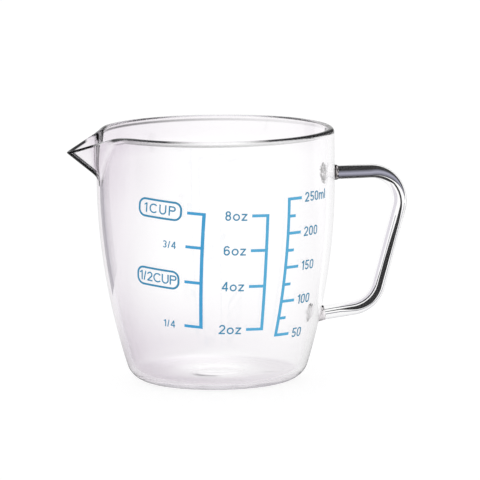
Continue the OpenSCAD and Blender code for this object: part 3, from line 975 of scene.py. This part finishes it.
class JUG_OT_seals(bpy.types.Operator):
    """Flares the two melted seals from the rod to the wall"""

    bl_idname = "jug.seals"
    bl_label = "Melted seals"

    def execute(self, context):
        s = context.scene.jug_handle
        finish = context.scene.jug_finish
        line = handle_line(s, context.scene.jug_body)
        upper_end, lower_end = line["upper_end"], line["lower_end"]
        upper = seal_glass("Upper seal glass", finish, finish.cloudy, UPPER_FLECKED, upper_end.z)
        lower = seal_glass("Lower seal glass", finish, finish.milky, LOWER_FLECKED, lower_end.z)
        upper_size = (0.0, s.upper_seal_radius, s.upper_seal_length)
        lower_size = (s.arm_rise, s.lower_seal_radius, s.lower_seal_length)
        for name, node, end, size, glass in [
            ("upper_seal", "upper_weld", upper_end, upper_size, upper),
            ("lower_seal", "lower_weld", lower_end, lower_size, lower),
        ]:
            self.seal(context, name, end, *size)
            piece = context.object
            piece.data.materials.append(glass)
            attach(piece, "root")
            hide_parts(node)
        return {"FINISHED"}

    def seal(self, context, name, end, rise, radius, length):
        """Draws a seal from its thin end to the wall and back along the rod"""
        s = context.scene.jug_handle
        body = context.scene.jug_body
        out = Vector((math.cos(rise), 0, math.sin(rise)))
        collar = s.rod_radius + SEAL_STEP
        hole = s.rod_radius + s.seam
        piece = start_ring(context, name, s.sides, collar, end + length * out, math.pi / 2 - rise)
        edit_all()
        last_r, last_along = collar, length
        for i in range(1, FLARE_STEPS + 1):
            turn = math.pi / 2 * (1 - i / FLARE_STEPS)
            r = collar + (radius - collar) * (1 - math.sin(turn))
            along = length * (1 - math.cos(turn))
            draw_out((along - last_along) * out)
            bpy.ops.transform.resize(value=(r / last_r,) * 3, center_override=end + along * out)
            last_r, last_along = r, along
        bpy.ops.mesh.extrude_region_move()
        bpy.ops.transform.resize(value=(hole / last_r,) * 3, center_override=end)
        draw_out(length * out)
        select_open_rings()
        bpy.ops.mesh.bridge_edge_loops()
        bpy.ops.object.mode_set(mode="OBJECT")
        for v in piece.data.vertices:
            along = max(0.0, (v.co - end).dot(out) / length)
            v.co.x += (wall_touch(body, v.co) - end.x) * (1 - smooth_step(along))
        finish_mesh(SEAL_SMOOTH_ANGLE)


class JUG_OT_print(bpy.types.Operator):
    """Gives the printed scales their enamel"""

    bl_idname = "jug.print"
    bl_label = "Printed scales"

    def execute(self, context):
        finish = context.scene.jug_finish
        bold = ink_material("Blue enamel", finish.ink, finish.pale_ink)
        fine = ink_material("Fine blue enamel", finish.fine_ink, finish.pale_fine_ink)
        for name in PRINT_NODES:
            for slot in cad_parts[name].material_slots:
                slot.material = bold if name.endswith("_scale") else fine
        return {"FINISHED"}


def first_reflection(web, share):
    """A share for rays that the first surface they met threw back, and 0 for all others"""
    first = web.math("LESS_THAN", web.ray("Transmission Depth"), 0.5)
    return web.all_of(first, web.ray("Is Glossy Ray"), share)


class JUG_OT_stage(bpy.types.Operator):
    """Sets up the camera, the floor and the light"""

    bl_idname = "jug.stage"
    bl_label = "Stage"

    def execute(self, context):
        s = context.scene.jug_stage
        self.camera(context, s)
        self.floor(context, s)
        rows = [[Vector(corner) * MM for corner in row] for row in SIDE_CARD]
        self.card(context, "side_card", rows, DUSK, DUSK, True)
        for name, (inner, outer, *edges) in RIBBONS.items():
            self.card(context, name, self.ribbon(context, edges, 1), inner, outer, False)
            self.card(context, name + "_mirrored", self.ribbon(context, edges, -1), inner, outer, False)
        self.world(context)
        context.scene.view_settings.view_transform = "Standard"
        cycles = context.scene.cycles
        cycles.max_bounces = s.bounces
        cycles.glossy_bounces = s.bounces
        cycles.transmission_bounces = s.bounces
        return {"FINISHED"}

    def camera(self, context, s):
        """Aims the camera at the middle of the body"""
        back = Vector((
            math.sin(s.azimuth) * math.cos(s.elevation),
            -math.cos(s.azimuth) * math.cos(s.elevation),
            math.sin(s.elevation),
        ))
        target = Vector((0, 0, BODY_HIGH.z / 2))
        aim = back.to_track_quat("Z", "Y") @ Quaternion((0, 0, 1), s.roll)
        deselect_all()
        bpy.ops.object.camera_add(location=target + s.distance * back, rotation=aim.to_euler())
        camera = context.object
        camera.data.lens = s.lens
        camera.data.shift_x, camera.data.shift_y = s.shift
        context.scene.camera = camera

    def floor(self, context, s):
        """A pale floor with light of its own, which first reflections show dimmed"""
        deselect_all()
        bpy.ops.mesh.primitive_plane_add(size=s.floor_size, location=(0, 0, -FLOOR_GAP))
        floor = context.object
        floor.name = "floor"
        material, web, shader, place = new_material("Pale floor")
        shader.inputs["Base Color"].default_value = (*s.floor_colour, 1)
        shader.inputs["Roughness"].default_value = FLOOR_ROUGHNESS
        shader.inputs["Emission Color"].default_value = (*WHITE, 1)
        gathered = web.distance(place, GATHERED, (1, 0.8, 0))
        glow = web.fade(gathered, *GATHERED_REACH, GATHERED_GLOW, FLOOR_GLOW)
        web.links.new(glow, shader.inputs["Emission Strength"])
        front = web.fade(web.axes(place)[1], FLOOR_BACKDROP, 0.0, BACKDROP_DIMMED)
        dim = web.put("ShaderNodeEmission", None, (*WHITE, 1), REFLECTED).outputs["Emission"]
        web.show(web.mix(first_reflection(web, front), shader.outputs["BSDF"], dim))
        floor.data.materials.append(material)

    def ribbon(self, context, edges, side):
        """Rows of a ribbon behind the rod as seen from the front, or with a side of -1 from the back"""
        s = context.scene.jug_handle
        line = handle_line(s, context.scene.jug_body)
        eye = context.scene.camera.location * Vector((1, side, 1))
        rows = []
        for first, last in zip(edges, edges[1:]):
            for i in range(RIBBON_STEPS):
                share = i / (RIBBON_STEPS - 1)
                place, low, high = (a + (b - a) * share for a, b in zip(first, last))
                middle, out = rod_place(s, line, place)
                ray = middle - eye
                behind = middle + ray * (RIBBON_BACK / abs(ray.y))
                rows.append((behind + low * MM * out, behind + high * MM * out))
        return rows

    def card(self, context, name, rows, inner, outer, mirrored):
        """A dark card that only glass shows: through the clear rod, or mirrored on the inside of the wall"""
        deselect_all()
        bpy.ops.mesh.primitive_grid_add(x_subdivisions=1, y_subdivisions=len(rows) - 1)
        card = context.object
        card.name = name
        for v, corner in zip(card.data.vertices, (corner for row in rows for corner in row)):
            v.co = corner
        card.visible_camera = card.visible_diffuse = card.visible_glossy = card.visible_shadow = False
        material = bpy.data.materials.new(name)
        web = Web(material)
        across = web.axes(web.nodes.new("ShaderNodeTexCoord").outputs["UV"])[0]
        tone = web.blend(across, inner, outer)
        crossed = web.ray("Transmission Depth" if mirrored else "Ray Depth")
        early = web.math("LESS_THAN", crossed, CARD_CROSSINGS)
        turned = web.math("COMPARE", web.ray("Glossy Depth"), 1.0 if mirrored else 0.0, 0.5)
        clear = web.nodes.new("ShaderNodeBsdfTransparent").outputs["BSDF"]
        dark = web.put("ShaderNodeEmission", None, tone).outputs["Emission"]
        web.show(web.mix(web.all_of(early, turned), clear, dark))
        card.data.materials.append(material)

    def world(self, context):
        """White light all round, with a sky that only glass shows and that first reflections show dimmed"""
        world = bpy.data.worlds.new("Soft studio")
        context.scene.world = world
        web = Web(world)
        light = web.nodes["Background"]
        light.inputs["Color"].default_value = (*WHITE, 1)
        x, y, z = web.axes(web.nodes.new("ShaderNodeTexCoord").outputs["Generated"])
        off_backdrop = web.fade(y, *BACKDROP_Y, BACKDROP_DIMMED)
        dimmed = first_reflection(web, web.larger(off_backdrop, web.fade(x, *HANDLE_X)))
        strength = web.run(dimmed, 0.0, 1.0, 1.0, REFLECTED)
        colour = web.blend(web.run(z, *SKY_HEIGHTS), WHITE, SKY_DIM)
        sky = web.put("ShaderNodeBackground", None, colour, strength).outputs["Background"]
        by_glass = web.larger(web.ray("Is Glossy Ray"), web.ray("Is Transmission Ray"))
        direct = web.math("LESS_THAN", web.ray("Diffuse Depth"), 0.5)
        web.show(web.mix(web.all_of(by_glass, direct), light.outputs["Background"], sky))


class JUG_PT_panel(bpy.types.Panel):
    """Lists the pieces of the jug and their settings"""

    bl_idname = "JUG_PT_panel"
    bl_label = "Glass measuring jug"
    bl_space_type = "VIEW_3D"
    bl_region_type = "UI"
    bl_category = "Jug"

    def draw(self, context):
        layout = self.layout
        for operator in OPERATORS:
            layout.operator(operator.bl_idname)
        for settings in SETTINGS:
            group = getattr(context.scene, settings)
            for name in group.bl_rna.properties.keys():
                if name not in {"rna_type", "name"}:
                    layout.prop(group, name)


SETTINGS = {
    "jug_body": BodySettings, "jug_handle": HandleSettings,
    "jug_finish": FinishSettings, "jug_stage": StageSettings,
}
OPERATORS = (JUG_OT_stage, JUG_OT_body, JUG_OT_handle, JUG_OT_seals, JUG_OT_print)


def register():
    for cls in (*SETTINGS.values(), *OPERATORS, JUG_PT_panel):
        bpy.utils.register_class(cls)
    for name, cls in SETTINGS.items():
        setattr(bpy.types.Scene, name, PointerProperty(type=cls))


def unregister():
    for name in SETTINGS:
        delattr(bpy.types.Scene, name)
    for cls in (JUG_PT_panel, *reversed(OPERATORS), *reversed(SETTINGS.values())):
        bpy.utils.unregister_class(cls)


def main():
    register()
    bpy.ops.jug.stage()
    bpy.ops.jug.body()
    bpy.ops.jug.handle()
    bpy.ops.jug.seals()
    bpy.ops.jug.print()
    bpy.context.view_layer.update()


if __name__ == "__main__":
    main()
